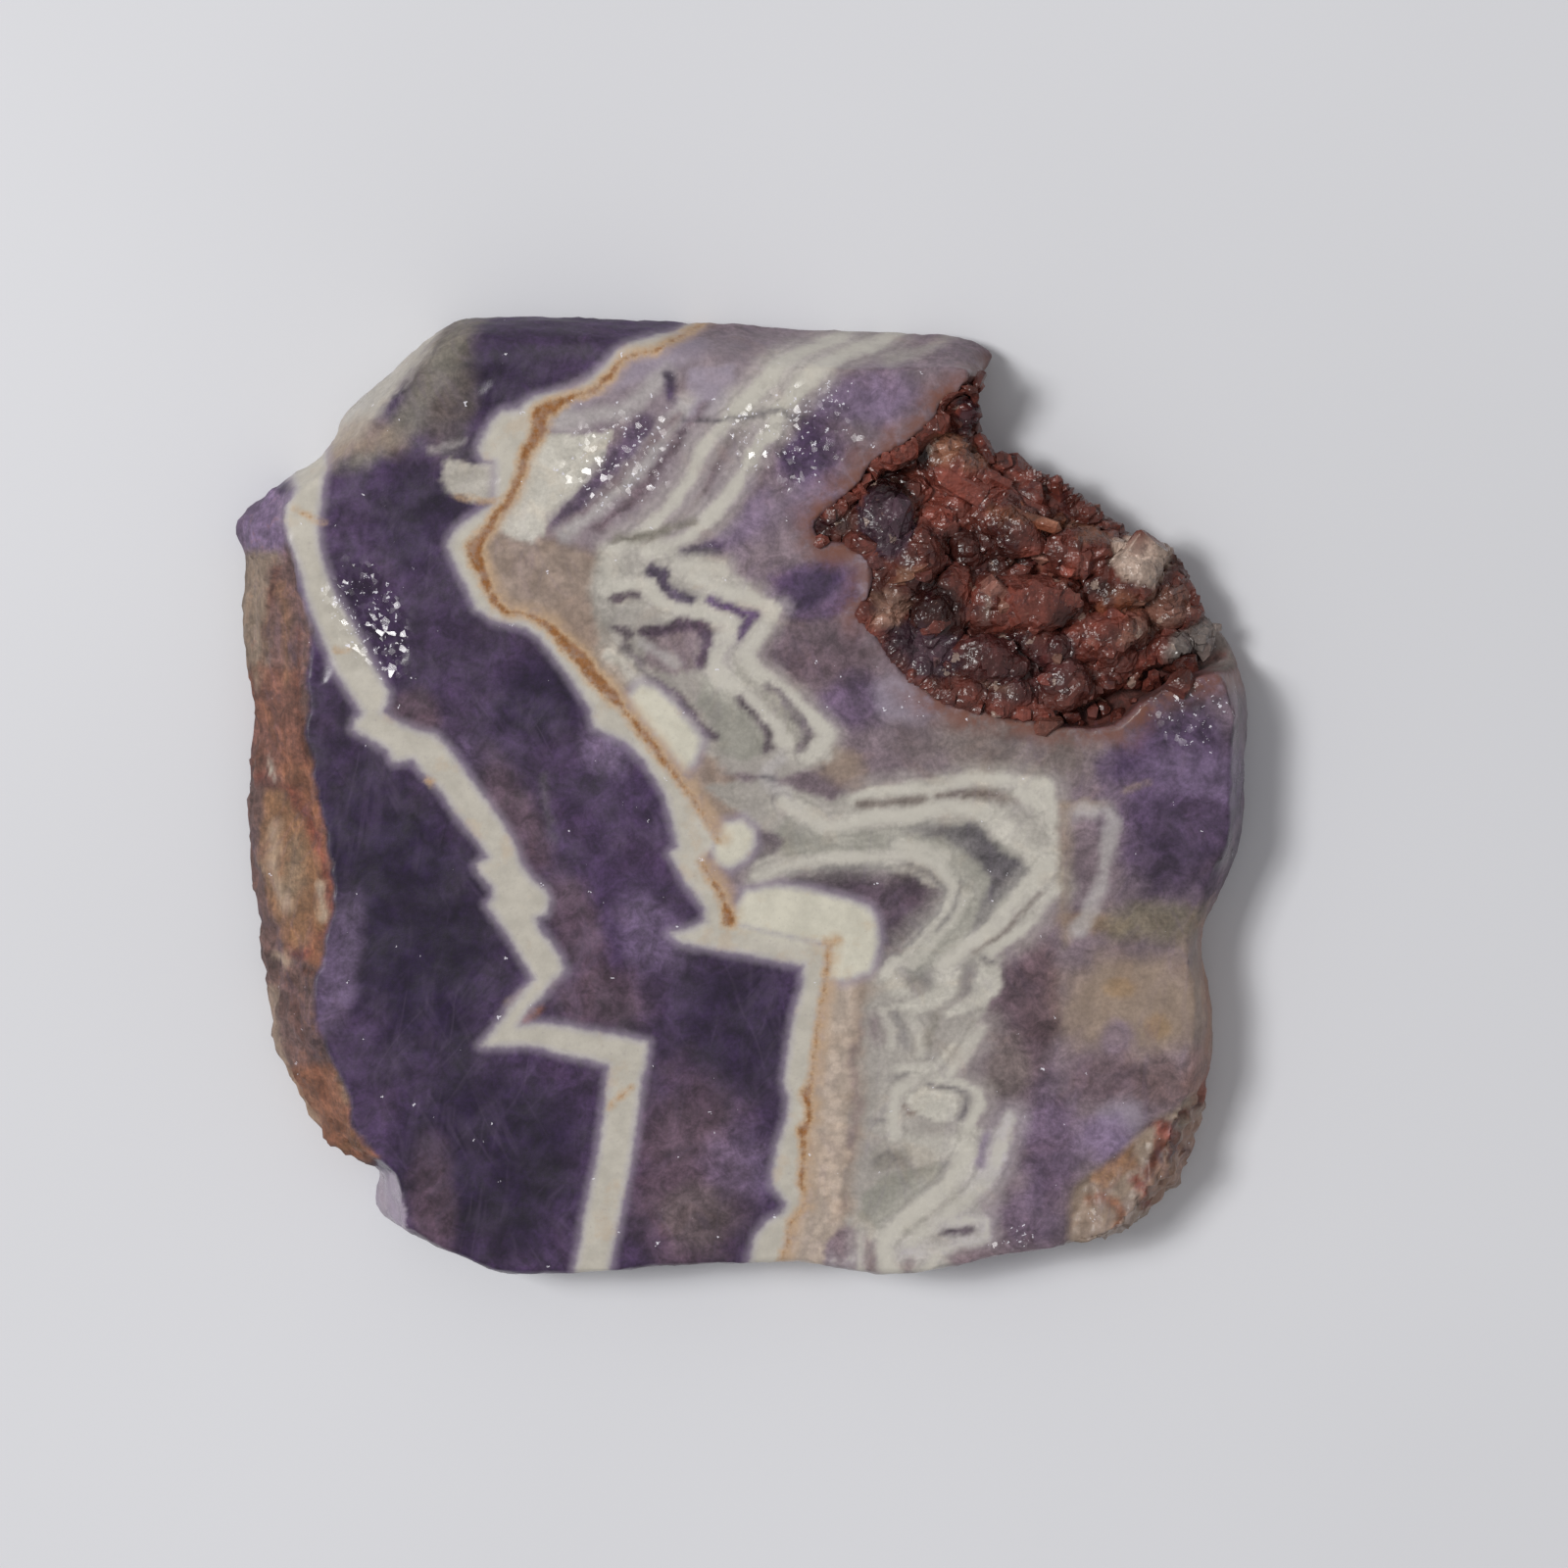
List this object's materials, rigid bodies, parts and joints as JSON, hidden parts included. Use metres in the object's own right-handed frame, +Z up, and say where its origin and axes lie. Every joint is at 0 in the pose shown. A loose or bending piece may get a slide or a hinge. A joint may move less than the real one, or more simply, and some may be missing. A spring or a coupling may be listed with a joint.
{
  "type": "rough lace amethyst slab",
  "caption": "Sawn slab of lace amethyst: a flat banded quartz plate with a weathered skin on one edge and a corner hollow lined with iron-stained crystals.",
  "frame": {"origin": "under the middle of the slab's outline, on the surface that its sawn back lies on", "axes": "+Z up, out of the good sawn face; +X across the bands towards the right edge; +Y towards the straight ground edge beside the crystal hollow"},
  "size_m": [0.1044, 0.0994, 0.013],
  "materials": {
    "banded_quartz": "sawn and wet-looking, purple with cream and rust bands",
    "iron_stained_crystals": "glassy crystal faces under a dull red-brown iron stain"
  },
  "bodies": {
    "root": {"banded_slab": "banded_quartz", "crystal_crust": "iron_stained_crystals"}
  },
  "joints": []
}
